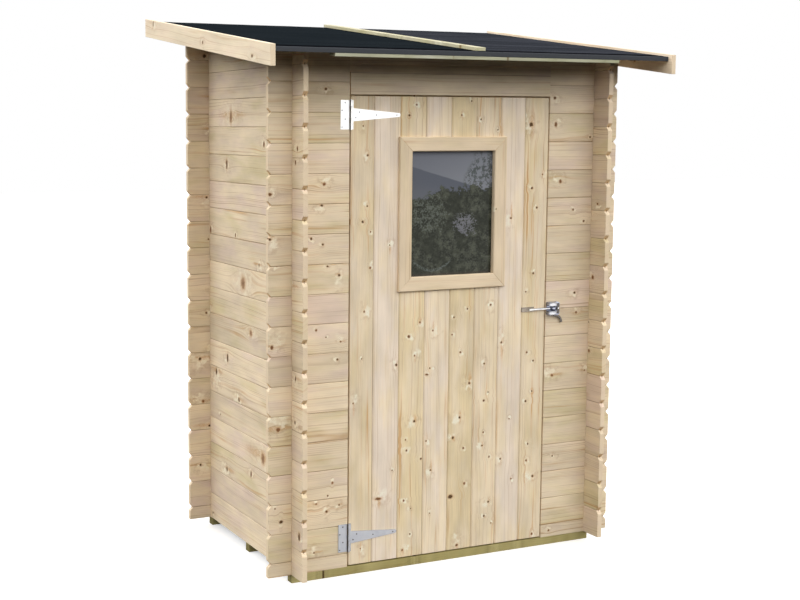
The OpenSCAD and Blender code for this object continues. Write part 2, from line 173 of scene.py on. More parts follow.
def new_group(name, ins, outs):
    """A shader node group with named sockets: (graph, its inputs, function that feeds its outputs)."""
    tree = bpy.data.node_groups.new(name, "ShaderNodeTree")
    for label, kind, value in ins:
        socket = tree.interface.new_socket(label, in_out="INPUT", socket_type="NodeSocket" + kind)
        socket.default_value = value
    for label, kind in outs:
        tree.interface.new_socket(label, in_out="OUTPUT", socket_type="NodeSocket" + kind)
    given = tree.nodes.new("NodeGroupInput").outputs
    result = tree.nodes.new("NodeGroupOutput")
    graph = Graph(tree)
    return graph, given, lambda sockets: graph.fill(result, sockets)


def new_material(name, **constants):
    """A Principled material: (material, graph, shader node). Constants go on the shader's own sockets."""
    material = bpy.data.materials.new(name)
    material.use_nodes = True
    graph, shader = Graph(material.node_tree), material.node_tree.nodes["Principled BSDF"]
    graph.fill(shader, {key.replace("_", " "): value for key, value in constants.items()})
    return material, graph, shader


def softwood_group():
    """Sawn softwood from the mesh's own numbers: grain is the place along, across and through the
    board, board its seed, tone and how much the face looks along the grain (less than 0 on the
    underside of a notch), edges its limits, and knot its nearest knot. Growth rings are nested
    cylinders round a wandering pith, so faces show long lines and sawn ends show arcs."""
    g, given, feed = new_group("softwood", [
        ("Pale", "Color", linear(234, 216, 187)), ("Cool", "Color", linear(224, 208, 168)),
        ("Rosy", "Color", linear(228, 207, 188)), ("Line", "Color", linear(172, 134, 96)),
        ("Heart", "Color", linear(206, 164, 116)), ("Burr", "Color", linear(255, 246, 222)),
        ("Knot", "Color", linear(82, 58, 36)), ("Sawn End", "Color", linear(236, 214, 182)),
        ("Ring Width", "Float", 0.0056), ("Figure", "Float", 1.0), ("Warmth", "Float", 0.6),
        ("Parting", "Float", 0.6)],
        [("Color", "Color"), ("Roughness", "Float"), ("Height", "Float")])
    along, across, depth = g.split(g.attribute("grain"))
    seed, tone, signed = g.split(g.attribute("board"))
    facing = g.math("ABSOLUTE", signed)
    edges, knot = g.attribute("edges"), g.attribute("knot")
    low, high, core_depth = g.split(edges)
    half_cell = edges.node.outputs["Alpha"]         # how far the nearest knot's own stretch goes
    knot_along, knot_across, knot_r = g.split(knot)
    knot_tall = knot.node.outputs["Alpha"]
    r = g.math("MAXIMUM", knot_r, 0.00001)
    da, dc = g.sub(along, knot_along), g.sub(across, knot_across)
    inside = g.below(g.math("ABSOLUTE", da), g.mul(half_cell, 0.3), g.mul(half_cell, 0.97))
    shift = g.mul(seed, 71.0)
    pick = g.dice(g.vec(seed, tone, 0.3))
    own = g.dice(g.vec(knot_along, knot_across, seed))

    # the grain parts round a knot as water does round a post
    reach = g.math("POWER", g.mul(r, 2.2), 2.0)
    away = g.add(g.mul(dc, dc), g.mul(reach, 0.4), g.mul(da, da, 0.2))
    side = g.sub(across, g.mul(dc, g.div(reach, away), inside))
    drift_across, drift_depth, drift_ring = g.noises(g.vec(g.mul(along, 1.3), g.mul(side, 3.0), shift), 2.0)
    middle = g.mul(g.add(low, high), 0.5)
    off = g.sub(pick[0], 0.5)
    u = g.add(g.mul(g.math("SIGN", off), 0.03), g.mul(off, 0.2), g.sub(side, middle),
              g.sway(drift_across, 0.03))
    v = g.add(g.mul(pick[1], 0.07), 0.03, g.sub(depth, core_depth), g.sway(drift_depth, 0.02))
    radius = g.add(g.mul(along, 0.004), g.mul(drift_ring, 0.006), g.length(u, v))
    ring = g.div(radius, given["Ring Width"])
    year = g.put("TexWhiteNoise", {"W": g.add(g.math("FLOOR", ring), shift)}, noise_dimensions="1D")
    part = g.math("FRACT", ring)
    line = g.mul(g.span(part, 0.3, 0.92), g.below(part, 0.92, 1.0),
                 g.add(g.mul(g.math("POWER", year, 3.0), 1.25), 0.1))
    slow = g.noise(g.vec(g.mul(along, 2.4), g.mul(ring, 0.35), shift))
    streak = g.noise(g.vec(g.mul(along, 1.1), g.mul(ring, 0.55), g.add(shift, 9.0)), 1.0, 3.0, 0.6)
    fibre = g.noise(g.vec(g.mul(along, 9.0), g.mul(side, 420.0), shift))
    cloud_tone, cloud_light, cloud_line = g.noises(
        g.vec(g.mul(along, 5.0), g.mul(across, 15.0), g.add(shift, 5.0)), 3.0)

    tone = g.add(g.mul(tone, 0.8), 0.1, g.sway(cloud_tone, 1.6))
    colour = g.mix(g.below(tone, 0.0, 0.5), given["Pale"], given["Cool"])
    colour = g.mix(g.span(tone, 0.5, 1.0), colour, given["Rosy"])
    heart = g.mul(g.span(streak, 0.5, 0.7), g.span(slow, 0.44, 0.6), g.span(tone, 0.15, 0.85, 1.35, 0.2))
    colour = g.mix(g.mul(heart, given["Warmth"]), colour, given["Heart"])
    line = g.mul(g.span(cloud_line, 0.3, 0.62, 0.3, 0.9), g.add(g.mul(heart, 0.7), 0.75), line)
    colour = g.mix(g.mul(given["Figure"], 0.7, line), colour, given["Line"])
    light = g.add(g.sway(fibre, 0.2), g.sway(cloud_light, 0.46), g.sway(pick[2], 0.15), 1.0)
    colour = g.mix(1.0, colour, g.put("CombineColor", {i: light for i in range(3)}), "MULTIPLY")

    # a knot: a cream burr to one side of it, an orange trail and a dark core
    warp_a, warp_c, warp_fine = g.noises(g.vec(g.mul(along, 90.0), g.mul(across, 90.0), shift), 3.0)
    wave_a, wave_c, wave_patch = g.noises(g.vec(g.mul(along, 38.0), g.mul(across, 50.0), shift), 1.5)

    def oval(move_a, move_c, stretch_a, stretch_c, rough, by=(warp_a, warp_c)):
        """Distance from the knot's moved middle, 1 on an oval of so many knot radii."""
        a = g.add(g.div(g.sub(da, g.mul(move_a, r)), g.mul(r, stretch_a)), g.sway(by[0], rough))
        c = g.add(g.div(g.sub(dc, g.mul(move_c, r)), g.mul(r, stretch_c)), g.sway(by[1], rough))
        return g.length(a, c)

    lean = g.sub(own[0], 0.5)
    trail = g.below(oval(g.mul(lean, 14.0), 0.6, 13.0, 1.6, 0.8), 0.2, 1.1)
    trail = g.mul(trail, inside, g.span(own[1], 0.5, 0.8))
    colour = g.mix(g.mul(trail, 0.7), colour, given["Heart"])
    spread = g.span(own[1], 0.3, 1.0, 2.8, 6.5)
    swirl = oval(g.mul(lean, g.mul(spread, -1.5)), g.sway(own[2], g.mul(spread, 1.3)), spread,
                 g.mul(spread, 0.7), 3.0, (wave_a, wave_c))
    swirl = g.add(swirl, g.sway(warp_fine, 0.9))
    quiet = g.mul(inside, g.span(r, 0.009, 0.014, 1.0, 0.45))       # a big knot has a fainter burr
    rim = g.mul(g.span(swirl, 0.95, 1.2), g.below(swirl, 1.2, 2.2), quiet,
                g.span(wave_patch, 0.4, 0.6, 0.0, 0.3))
    colour = g.mix(rim, colour, given["Line"])
    burr = g.mul(g.below(swirl, 0.4, 1.0), g.span(wave_patch, 0.36, 0.6, 0.45, 1.0), quiet, 0.85)
    colour = g.mix(burr, colour, given["Burr"])
    near = oval(0.0, 0.0, 1.0, knot_tall, 0.9)
    colour = g.mix(g.below(near, 0.9, 1.8, 0.5), colour, given["Heart"])
    core = g.below(near, 0.6, 1.1)
    core_colour = g.mix(g.span(own[2], 0.3, 1.0, 0.0, 0.8), given["Knot"], linear(146, 98, 66))
    core_colour = g.mix(g.mul(g.span(r, 0.0085, 0.014), g.span(near, 0.1, 0.7, 0.45, 0.85)), core_colour,
                        linear(176, 140, 108))
    colour = g.mix(g.mul(core, 0.95), colour, core_colour)

    # sawn ends, painted light on the underside of a notch, the gap of the tongue, the parting of two boards
    # and painted shade beside it
    edge = g.math("MINIMUM", g.sub(across, low), g.sub(high, across))
    colour = g.mix(g.span(facing, 0.8, 0.95, 0.0, 0.6), colour, given["Sawn End"])
    # painted light: faces that look down from a notch get a lighter, warmer tint in place of bounce light
    colour = g.mix(g.mul(g.span(signed, -0.9, -0.85), g.below(signed, -0.6, -0.5, 0.8)), colour,
                   linear(246, 208, 156))
    hole_a, hole_c = g.div(edge, 0.006), g.div(g.sub(depth, core_depth), 0.0024)
    hole = g.below(g.add(g.mul(hole_a, hole_a), g.mul(hole_c, hole_c)), 0.3, 1.1)
    colour = g.mix(g.mul(hole, g.span(facing, 0.6, 0.68, 0.0, 0.8)), colour, linear(104, 74, 46))
    # the parting: a dark joint line, and up to 3.6 mm from it a soft painted shade across the V
    worn = g.noise(g.vec(g.mul(along, 7.0), g.mul(middle, 9.0), 0.5))
    parting = g.mul(given["Parting"], g.span(worn, 0.34, 0.62, 0.5, 1.25))
    colour = g.mix(g.mul(g.below(edge, 0.0004, 0.0036, 0.3), parting), colour, linear(158, 122, 82))
    colour = g.mix(g.mul(g.below(edge, 0.0005, 0.0011), parting), colour, linear(122, 90, 58))
    feed({"Color": colour, "Roughness": g.add(g.sway(fibre, 0.3), 0.62),
          "Height": g.add(g.mul(line, -0.5), g.mul(fibre, 0.6), g.mul(core, -0.8))})
    return g.tree


def softwood(name, **finish):
    """A softwood finish: the group's colours, with its height as a fine bump."""
    material, g, shader = new_material(name, Specular_IOR_Level=0.04)
    wood = g.group(WOOD, {key.replace("_", " "): linear(*value) if isinstance(value, tuple) else value
                          for key, value in finish.items()})
    bump = g.put("Bump", {"Strength": 0.25, "Distance": 0.0006, "Height": wood["Height"]})
    g.fill(shader, {"Base Color": wood["Color"], "Roughness": wood["Roughness"], "Normal": bump})
    return material


WOOD = softwood_group()
PINE = softwood("planed pine")
PINE_DOOR = softwood("door pine", Pale=(241, 223, 193), Cool=(236, 216, 176), Rosy=(240, 224, 205),
                     Line=(186, 150, 110), Heart=(220, 176, 126), Burr=(255, 251, 232), Warmth=0.95,
                     Parting=0.5)
# roof boards painted dark: painted shade under the roof, which also keeps light from bouncing there
PINE_PAINTED_SHADE = softwood("shaded roof boards", Pale=(100, 88, 72), Cool=(92, 84, 66), Rosy=(104, 90, 76),
                     Line=(74, 62, 48), Heart=(88, 70, 52), Burr=(112, 100, 84), Knot=(50, 38, 28),
                     Sawn_End=(110, 96, 80))
PINE_TRIM = softwood("clear pine", Pale=(232, 212, 182), Cool=(230, 211, 176), Rosy=(232, 210, 184),
                     Line=(196, 166, 126), Figure=1.2)
PINE_VERGE = softwood("verge pine", Pale=(242, 226, 198), Cool=(238, 222, 190), Rosy=(242, 223, 198),
                      Line=(204, 172, 132), Burr=(253, 244, 222), Figure=1.2)
TREATED = softwood("treated pine", Pale=(196, 190, 150), Cool=(170, 168, 112), Rosy=(212, 206, 178),
                   Line=(140, 134, 84), Heart=(160, 146, 96), Burr=(220, 216, 190), Sawn_End=(190, 188, 150))
TREATED_PALE = softwood("faded treated pine", Pale=(178, 178, 152), Cool=(158, 162, 124),
                        Rosy=(200, 200, 182), Line=(132, 130, 100), Heart=(152, 146, 112),
                        Burr=(216, 216, 198), Sawn_End=(180, 180, 152))
TREATED_DARK = softwood("treated sleepers", Pale=(160, 148, 96), Cool=(128, 120, 72), Rosy=(180, 168, 116),
                        Line=(104, 94, 56), Heart=(126, 104, 62), Burr=(190, 178, 128), Knot=(60, 48, 28),
                        Sawn_End=(92, 88, 54))


# ---------------------------------------------------------------- meshes and pieces

def read(items, key, width=1, kind=np.float32):
    """One value of every item of a mesh, as an array with a row for each item."""
    values = np.zeros(len(items) * width, kind)
    items.foreach_get(key, values)
    return values.reshape(-1, width) if width > 1 else values


def set_attribute(mesh, name, kind, domain, values):
    key = "color" if kind == "FLOAT_COLOR" else "vector"
    made = mesh.attributes.new(name, kind, domain)
    made.data.foreach_set(key, np.asarray(values, np.float32).ravel())


def merged_copy(node):
    """A solid's mesh as a bmesh, its triangles merged into whole faces."""
    work = bmesh.new()
    work.from_mesh(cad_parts[node].data)
    bmesh.ops.remove_doubles(work, verts=work.verts, dist=TOUCH)
    bmesh.ops.dissolve_limit(work, angle_limit=0.01, verts=work.verts, edges=work.edges)
    return work


def soften(work, arris, sharper_than, square=()):
    """Rounds the outer edges that turn by more than an angle, all but the square ones."""
    sharp = [e for e in work.edges
             if e.is_convex and e.calc_face_angle(0) > sharper_than and e not in square]
    bmesh.ops.bevel(work, geom=sharp, offset=arris, segments=2, profile=0.6, affect="EDGES",
                    clamp_overlap=True)


def close_work(work, name):
    """Turns a finished bmesh into a mesh."""
    mesh = bpy.data.meshes.new(name)
    work.to_mesh(mesh)
    work.free()
    return mesh


def add_piece(mesh, finish, body, slot, *replaced):
    """Puts a finished mesh into the scene as a piece of that body."""
    mesh.materials.append(finish)
    piece = bpy.data.objects.new(mesh.name, mesh)
    bpy.context.scene.collection.objects.link(piece)
    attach(piece, body)
    if replaced:
        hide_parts(*replaced)
    return piece


# ---------------------------------------------------------------- timber pieces

def random_knots(rng, board, low, high, edges, gap):
    """Knots of one board, as (board, along, across, radius, height to length)."""
    count = int((high - low) / gap + rng.random())
    places = low + (np.arange(count) + rng.uniform(0.22, 0.78, count)) * (high - low) / max(count, 1)
    return [(board, a, rng.uniform(edges[0] + 0.012, edges[1] - 0.012), 0.0038 + 0.0048 * rng.random() ** 1.4,
             rng.choice([0.8, 1.1, 1.4, 3.0, 5.5], p=[0.32, 0.32, 0.2, 0.1, 0.06])) for a in places]


def cut_across(work, place, normal, geom=None):
    """Cuts the faces of work, or only geom, by the plane at a place along its normal."""
    bmesh.ops.bisect_plane(work, geom=geom or work.verts[:] + work.edges[:] + work.faces[:],
                           dist=TOUCH / 2, plane_co=Vector(normal) * place, plane_no=normal)


def press_grooves(mesh, across, through, joints):
    """A fine V along every joint: each point that lies on a joint and in one of the two broad faces
    moves towards the other face by the groove's depth."""
    points = read(mesh.vertices, "co", 3)
    place, deep = points @ across, points @ through
    on_joint = (abs(place[:, None] - joints) < TOUCH).any(1)
    into = on_joint * ((deep < deep.min() + TOUCH) * 1.0 - (deep > deep.max() - TOUCH))
    mesh.vertices.foreach_set("co", (points + GROOVE_DEPTH * into[:, None] * through).ravel())
    mesh.update()


def mark_wood(mesh, turn, board, limits, knots, character):
    """Stores what the softwood finish reads. Each face has a turn (its directions along, across and
    through), a board number and that board's limits; character is each board's seed and tone."""
    centres, normals = read(mesh.polygons, "center", 3), read(mesh.polygons, "normal", 3)
    points = read(mesh.vertices, "co", 3)
    along = np.einsum("fi,fi->f", turn[:, 0], centres)
    knot = np.tile([0.0, 0.0, 0.0, 1.0], (len(board), 1))
    half_cell = np.full(len(board), KNOT_REACH)
    for n in range(len(character)):
        mine = np.array([k[1:] for k in knots if k[0] == n])
        if len(mine):
            rows = np.flatnonzero(board == n)
            nearest = np.searchsorted((mine[1:, 0] + mine[:-1, 0]) / 2, along[rows])
            room = np.concatenate([[KNOT_REACH], np.diff(mine[:, 0]) / 2, [KNOT_REACH]])
            knot[rows] = mine[nearest]
            half_cell[rows] = np.minimum(room[1:], room[:-1])[nearest]
    through = points @ turn[0, 2]
    core = np.full(len(board), (through.min() + through.max()) / 2)
    facing = np.abs(np.einsum("fi,fi->f", turn[:, 0], normals))
    facing[np.einsum("fi,fi->f", turn[:, 1], normals) < -0.3] *= -1

    of_face = np.repeat(np.arange(len(board)), read(mesh.polygons, "loop_total", kind=np.int32))
    corners = points[read(mesh.loops, "vertex_index", kind=np.int32)]
    set_attribute(mesh, "grain", "FLOAT_VECTOR", "CORNER", np.einsum("lij,lj->li", turn[of_face], corners))
    set_attribute(mesh, "board", "FLOAT_VECTOR", "FACE", np.column_stack([character[board], facing]))
    set_attribute(mesh, "edges", "FLOAT_COLOR", "CORNER", np.column_stack([limits, core, half_cell])[of_face])
    set_attribute(mesh, "knot", "FLOAT_COLOR", "CORNER", knot[of_face])


def timber(name, node, axes, joints=(), *, seed, body="shed", finish=PINE, slot="pine_boards", gap=0.22,
           knots=(), sides=None, arris=ARRIS, tones=(), shape=None):
    """A detailed copy of solid boards: the solid's faces are merged, its outer edges rounded, a fine V
    cut along each joint, and each board is cut across half way between its knots, so that every face
    knows the knot nearest to it. axes are the directions along, across and through the boards, or,
    where sides tells the strips of a frame apart, one such set for each strip. joints part the boards
    across; gap is the mean distance of the chance knots on boards without listed ones; shape alters
    the solid first, and says which edges stay square."""
    work = merged_copy(node)
    soften(work, arris, 0.5, shape(work) if shape else ())
    frames = np.array(axes if sides else [axes], float)
    along, across, through = frames[0]
    corners = np.array([v.co for v in work.verts])
    low, high = (corners @ across).min(), (corners @ across).max()
    start, end = (corners @ along).min(), (corners @ along).max()
    joints = [j for j in joints if low + LEAST_STRIP < j < high - LEAST_STRIP]
    for joint in joints:
        for offset in (-GROOVE, 0, GROOVE):
            cut_across(work, joint + offset, across)

    rng = np.random.default_rng(seed)
    edges = [low, *joints, high]
    listed = list(knots)
    named = {k[0] for k in listed}
    for n in range(len(joints) + 1):
        if gap and n not in named and edges[n + 1] - edges[n] > LEAST_BOARD:
            listed += random_knots(rng, n, start, end, edges[n:n + 2], gap)
    listed.sort()
    number = work.faces.layers.int.new("board_number")
    centres = np.array([f.calc_center_median() for f in work.faces])
    for face, board in zip(work.faces, np.searchsorted(joints, centres @ across)):
        face[number] = board
    for n in range(len(joints) + 1):
        places = [k[1] for k in listed if k[0] == n]
        for a, b in zip(places, places[1:]):
            own = [f for f in work.faces if f[number] == n]
            parts = own + [e for f in own for e in f.edges] + [v for f in own for v in f.verts]
            cut_across(work, (a + b) / 2, along, list(dict.fromkeys(parts)))
    mesh = close_work(work, name)
    press_grooves(mesh, across, through, joints)

    centres = read(mesh.polygons, "center", 3)
    if sides:
        side = board = sides(centres)
        limits = np.full((len(frames), 2), [-9.0, 9.0])
    else:
        side, board = np.zeros(len(centres), int), np.searchsorted(joints, centres @ across)
        limits = np.stack([[low - 0.5, *joints], [*joints, high + 0.5]], 1)
    character = np.stack([rng.random(len(limits)), rng.random(len(limits))], 1)
    character[:len(tones), 1] = tones[:len(limits)]
    mark_wood(mesh, frames[side], board, limits[board], listed, character)
    return add_piece(mesh, finish, body, slot, node)


def frame_sides(node):
    """Tells the upright strips of a mitred frame (1) from its level ones (0) by the nearer outer edge."""
    low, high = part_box(node)

    def side(centres):
        to_side = np.minimum(centres[:, 0] - low.x, high.x - centres[:, 0])
        to_level = np.minimum(centres[:, 2] - low.z, high.z - centres[:, 2])
        return (to_side < to_level).astype(int)
    return side


FRONT, SIDE, DOOR = (X, Z, Y), (Y, Z, X), (Z, X, Y)
LEVEL_AND_UPRIGHT = [(X, Z, Y), (Z, X, Y)]
side_joints = BASE_TOP + COURSE * np.arange(1, 19)
front_joints = BASE_TOP + STARTER + COURSE * np.arange(0, 19)

SIDE_TONES = [.6, .75, .4, .65, .6, .45, .6, .5, .3, .55, .6, .4, .8, .35, .4, .6, .7, .6, .5]
FRONT_TONES = [.4, .3, .45, .6, .35, .3, .5, .65, .6, .9, .35, .6, .45, .5, .7, .3, .55, .5, .5, .5]

# knots per board: place along, height, radius in millimetres, height to length
SIDE_KNOTS = {0: [(.39, .06, 5, 1)], 1: [(-.505, .205, 9, 1.9)],
              2: [(-.04, .338, 8, 1.7), (.223, .296, 8, 1.5)], 3: [(-.163, .43, 18, 1.4)],
              4: [(.30, .52, 4, 1)], 5: [(-.466, .64, 6, 1.4), (.087, .624, 8, 1.2), (.34, .702, 9, 1.8)],
              6: [(-.471, .81, 5, 2), (.212, .783, 9, 2.2)], 7: [(-.04, .925, 14, 1)], 8: [(.42, .985, 4, 1)],
              9: [(-.432, 1.16, 5, 2.2), (.04, 1.12, 23, 1.2)], 10: [(-.125, 1.21, 5, 1.6)],
              11: [(.12, 1.312, 6, 1.5), (.401, 1.316, 8, 2)], 12: [(-.30, 1.44, 4, 1)],
              13: [(-.468, 1.627, 6, 1.6), (.212, 1.604, 10, 2.2)],
              14: [(-.483, 1.678, 6, 1.5), (-.175, 1.69, 8, 1.6)], 15: [(.165, 1.80, 13, 2.3)]}
FRONT_LEFT_KNOTS = {1: [(-.603, .109, 4, 1)],
                    2: [(-.77, .305, 4, 1), (-.745, .25, 8, .9), (-.595, .303, 4, 1), (-.55, .268, 6, .9),
                        (-.495, .288, 4, 1)],
                    3: [(-.545, .33, 4, 1), (-.525, .38, 5, 1.2)], 5: [(-.757, .612, 9, 1)],
                    7: [(-.506, .865, 5, 1)],
                    8: [(-.783, .93, 7, 1.3), (-.598, .985, 5, 1), (-.555, .955, 3, 1), (-.492, .934, 4, 1)],
                    10: [(-.762, 1.24, 5, 1), (-.55, 1.229, 5, .8), (-.50, 1.192, 6, .9)],
                    11: [(-.79, 1.34, 6, .9), (-.62, 1.337, 5, 1.1), (-.57, 1.313, 5, 1)],
                    12: [(-.575, 1.462, 7, .7)], 13: [(-.79, 1.508, 8, .9), (-.565, 1.542, 7, .9)],
                    16: [(-.56, 1.90, 6, .9)]}
FRONT_RIGHT_KNOTS = {0: [(.50, .06, 5, 1)], 3: [(.51, .38, 4, 1)], 6: [(.50, .726, 6, 1), (.665, .735, 4, 1)],
                     8: [(.615, .985, 6, 1)], 9: [(.604, 1.069, 6, .9)],
                     12: [(.587, 1.417, 5, 1), (.642, 1.368, 5, 1)], 13: [(.52, 1.535, 7, 1.2)],
                     15: [(.491, 1.77, 7, 1.6), (.664, 1.717, 5, 1)], 16: [(.483, 1.876, 8, .8)]}


def plank_joints(node):
    """Joints across X of a node's floor or roof boards."""
    low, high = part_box(node)
    return np.arange(low.x + PLANK, high.x, PLANK)


def knots_of(boards):
    """The rows above as (board, along, across, radius, height to length)."""
    return [(n, a, z, r / 1000, tall) for n, row in boards.items() for a, z, r, tall in row]


timber("left_wall_boards", "side_wall_left", SIDE, side_joints, seed=11, arris=WALL_ARRIS, tones=SIDE_TONES,
       knots=knots_of(SIDE_KNOTS), gap=None)
timber("right_wall_boards", "side_wall_right", SIDE, side_joints, seed=12, arris=WALL_ARRIS)
timber("rear_wall_boards", "rear_wall", FRONT, front_joints, seed=13, arris=WALL_ARRIS, tones=SIDE_TONES)

head_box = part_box("door_header")
HEAD_JOINT = head_box[0].z + HEAD_BOARD     # over it the top board runs on past the doorway


def close_to(end_x, from_z, reach=0.0):
    """Shapes the top of a front piece: its end at end_x stays square over from_z, so that the top
    board looks whole, and it is drawn out by reach to meet its neighbour."""
    def end_points(work, x, z):
        return [v for v in work.verts if abs(v.co.x - x) < 0.0005 and v.co.z > z]

    def shape(work):
        for z in (from_z, from_z + 0.004):
            cut_across(work, z, Z)
        bmesh.ops.translate(work, verts=end_points(work, end_x, from_z + 0.003), vec=(reach, 0, 0))
        square = set(end_points(work, end_x + reach, from_z - 0.0005))
        return {e for e in work.edges if square.issuperset(e.verts)}
    return shape


def close_head(work):
    """The boards over the door meet the walls at both ends."""
    hinge_side = close_to(head_box[0].x, HEAD_JOINT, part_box("front_wall_left")[1].x - head_box[0].x)(work)
    return hinge_side | close_to(head_box[1].x, head_box[0].z)(work)


timber("front_wall_left_boards", "front_wall_left", FRONT, front_joints, seed=14, arris=WALL_ARRIS,
       tones=FRONT_TONES, shape=close_to(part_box("front_wall_left")[1].x, HEAD_JOINT),
       knots=knots_of(FRONT_LEFT_KNOTS), gap=None)
timber("front_wall_right_boards", "front_wall_right", FRONT, front_joints, seed=15, arris=WALL_ARRIS,
       tones=FRONT_TONES, shape=close_to(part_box("front_wall_right")[0].x, head_box[0].z),
       knots=knots_of(FRONT_RIGHT_KNOTS), gap=None)
timber("boards_over_the_door", "door_header", FRONT, [HEAD_JOINT], seed=19, tones=[.55, .6],
       shape=close_head, gap=None)
timber("floor_planks", "floor_boards", (Y, X, Z), plank_joints("floor_boards"), seed=17)
door_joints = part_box("door_boards")[0].x + FIRST_DOOR_BOARD + DOOR_BOARD * np.arange(7)
DOOR_KNOTS = [          # per board: height, place across, radius in millimetres, height to length
    [(.10, -.40, 3, 1), (.687, -.436, 4, .8), (.86, -.40, 3, 1), (1.045, -.39, 5, .8), (1.215, -.365, 5, 1),
     (1.355, -.365, 4, .9), (1.395, -.40, 6, 1), (1.455, -.38, 4, 1), (1.65, -.38, 5, 1),
     (1.762, -.40, 3, 1)],
    [(.292, -.322, 6, 2.6), (.401, -.26, 4, .8), (.825, -.245, 6, 1), (1.30, -.28, 3, 1)],
    [(.068, -.21, 5, 1), (.13, -.175, 4, 1), (.235, -.173, 3, 1), (.271, -.206, 5, .9), (.434, -.128, 5, 1),
     (.475, -.195, 5, .9), (.519, -.20, 4, .8), (.591, -.161, 6, 1), (.856, -.163, 4, 1),
     (.934, -.19, 6, 1), (.988, -.14, 5, .9), (1.803, -.198, 5, 1), (1.844, -.166, 4, 1)],
    [(.205, -.085, 3, 1), (.383, -.083, 4, 1.2), (.505, -.105, 4, 1), (.775, -.105, 4, 2),
     (.80, -.092, 4, .9), (.952, -.08, 4, 1)],
    [(.055, .045, 6, 1.2), (.262, .012, 9, 1.3), (.31, .078, 6, .9), (.458, .07, 5, 1), (.506, .02, 6, 1),
     (.587, .05, 5, 1), (.725, .094, 6, .9), (.855, .05, 5, 1), (.929, .01, 4, 1), (.999, .017, 5, .8),
     (1.03, .08, 5, .9), (1.805, .04, 4, 1), (1.86, .085, 4, 1)],
    [(.128, .21, 3, 1), (.162, .175, 6, .9), (.22, .195, 5, 1), (.41, .195, 5, .8), (.46, .16, 4, 1.2),
     (.515, .165, 4, 1), (.647, .165, 5, 1), (.68, .185, 3, 1), (.80, .164, 4, 1.3), (1.04, .19, 5, 1),
     (1.747, .21, 4, .9), (1.788, .13, 4, 1)],
    [(.305, .305, 4, 1), (.395, .25, 5, .8), (.56, .29, 3, 1), (.882, .245, 5, 1), (1.39, .28, 4, 1.4)],
    [(.055, .415, 6, .9), (.305, .412, 6, 1), (.375, .378, 5, .9), (.445, .385, 5, .9), (.627, .37, 5, 1),
     (.667, .40, 4, .9), (.795, .403, 4, 1.2), (.832, .371, 5, 1), (1.015, .36, 4, 1), (1.085, .36, 4, 1),
     (1.16, .395, 5, 1), (1.43, .405, 5, 1), (1.51, .38, 6, 1), (1.565, .43, 4, 1), (1.768, .37, 9, 1.1)]]
timber("door_planks", "door_boards", DOOR, door_joints, body="door", finish=PINE_DOOR, seed=18,
       tones=[.3, .95, .1, .75, .1, .45, .85, .3],
       knots=[(n, z, x, r / 1000, tall) for n, row in enumerate(DOOR_KNOTS) for z, x, r, tall in row])
for seed, node in enumerate(["door_ledge_top", "door_ledge_middle", "door_ledge_bottom"], 30):
    timber(node.replace("door", "planed"), node, FRONT, body="door", seed=seed)
brace_low, brace_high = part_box("door_brace")
slant = math.atan2(brace_high.z - brace_low.z, brace_high.x - brace_low.x)
timber("planed_brace", "door_brace", ((math.cos(slant), 0, math.sin(slant)),
       (-math.sin(slant), 0, math.cos(slant)), Y), body="door", seed=34)
for seed, node in enumerate(["jamb_left", "jamb_right"], 35):
    timber(node.replace("jamb", "post"), node, DOOR, seed=seed)
timber("rail_over_the_door", "head_rail", FRONT, seed=37)
for seed, side_name in enumerate(["left", "right"], 40):
    deck = "roof_deck_" + side_name
    timber(deck.replace("deck", "planks"), deck, (SLOPE, X, ROOF_UP), plank_joints(deck), finish=PINE_PAINTED_SHADE,
           seed=seed)
    timber("verge_board_" + side_name, "bargeboard_" + side_name, (SLOPE, ROOF_UP, X), finish=PINE_VERGE,
           slot="pine_trim", seed=seed + 4, gap=0.45)
for seed, node in enumerate(["bearer_front", "bearer_middle", "bearer_rear"], 50):
    timber(node.replace("bearer", "sleeper"), node, (X, Y, Z), finish=TREATED_DARK, slot="treated_pine",
           seed=seed, arris=0.002)
timber("roof_batten", "cover_batten", (SLOPE, X, ROOF_UP), finish=TREATED, slot="treated_pine", seed=54)
for seed, node in enumerate(["eaves_batten_front", "eaves_batten_rear"], 55):
    timber(node.replace("eaves", "edge"), node, (X, SLOPE, ROOF_UP), finish=TREATED_PALE, slot="treated_pine",
           seed=seed)
for seed, node in enumerate(["window_trim_outside", "window_trim_inside"], 60):
    timber(node.replace("trim", "architrave"), node, LEVEL_AND_UPRIGHT, body="door", finish=PINE_TRIM,
           slot="pine_trim", sides=frame_sides(node), seed=seed, gap=None, arris=0.0008, tones=[.5, .45],
           knots=[(1, 1.30, .203, .0022, 1), (1, 1.365, .208, .002, 1), (1, 1.43, .20, .003, 1),
                  (1, 1.50, -.225, .003, 1.3), (1, 1.535, .205, .003, 1), (1, 1.64, .232, .003, 1.5)])
timber("window_lining", "window_sash", LEVEL_AND_UPRIGHT, body="door", finish=PINE_TRIM,
       slot="pine_trim", sides=frame_sides("window_sash"), seed=62, gap=None, arris=0.0005, tones=[.5, .5])


# ---------------------------------------------------------------- closed grids

def add_grid(work, points):
    """Adds a closed grid of points (rows, columns, 3) to a bmesh: its last column joins its first, and
    one face closes the first row and one the last."""
    rows, columns = points.shape[:2]
    index = np.arange(rows * columns).reshape(rows, columns)
    index = np.hstack([index, index[:, :1]])
    quads = np.stack([index[:-1, :-1], index[:-1, 1:], index[1:, 1:], index[1:, :-1]], -1).reshape(-1, 4)
    lids = [index[0, :columns][::-1].tolist(), index[-1, :columns].tolist()]
    mesh = bpy.data.meshes.new("grid")
    mesh.from_pydata(points.reshape(-1, 3).tolist(), [], quads.tolist() + lids)
    mesh.validate()
    work.from_mesh(mesh)
    bpy.data.meshes.remove(mesh)


